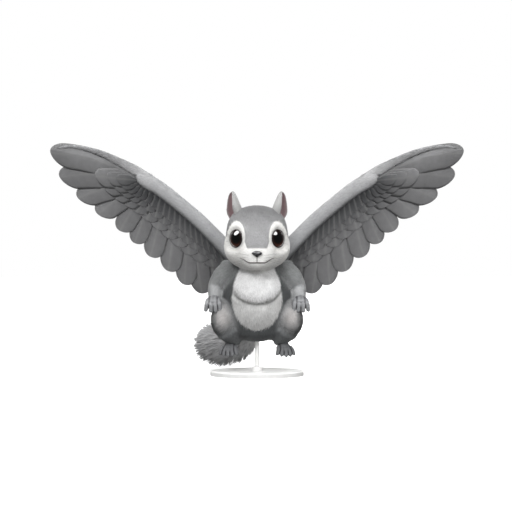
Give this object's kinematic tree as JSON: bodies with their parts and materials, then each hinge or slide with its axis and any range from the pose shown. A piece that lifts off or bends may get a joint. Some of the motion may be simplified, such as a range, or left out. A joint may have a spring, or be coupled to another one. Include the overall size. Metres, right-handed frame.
{
  "type": "winged squirrel",
  "caption": "Life-size grey squirrel with raised, spread feathered wings and a bushy tail, shown in flight on a plain rod and disc stand.",
  "frame": {"origin": "middle of the stand's flat underside", "axes": "-Z is the stand's resting face, the animal faces -Y, +X is its left side and the way its wings are longest"},
  "size_m": [0.5084, 0.2055, 0.283],
  "materials": {
    "coat": "short matt grey fur, whitish on the face, chest and belly",
    "feather": "matt grey feathers",
    "eye": "wet, glossy dark brown",
    "nose_skin": "moist dark grey skin",
    "paw_skin": "short-haired grey skin with dark claws",
    "ear_skin": "thin skin, short-haired outside, pinkish brown inside",
    "stand_paint": "satin white paint"
  },
  "bodies": {
    "root": {"head": "coat", "neck": "coat", "torso": "coat", "tail": "coat", "nose": "nose_skin", "eye_left": "eye", "eye_right": "eye", "ear_left": "ear_skin", "ear_right": "ear_skin", "upper_arm_left": "coat", "upper_arm_right": "coat", "forearm_left": "coat", "forearm_right": "coat", "hand_left": "paw_skin", "hand_right": "paw_skin", "thigh_left": "coat", "thigh_right": "coat", "shank_left": "coat", "shank_right": "coat", "foot_left": "paw_skin", "foot_right": "paw_skin", "wing_left": "feather", "wing_right": "feather", "stand_base": "stand_paint", "stand_rod": "stand_paint"}
  },
  "joints": []
}
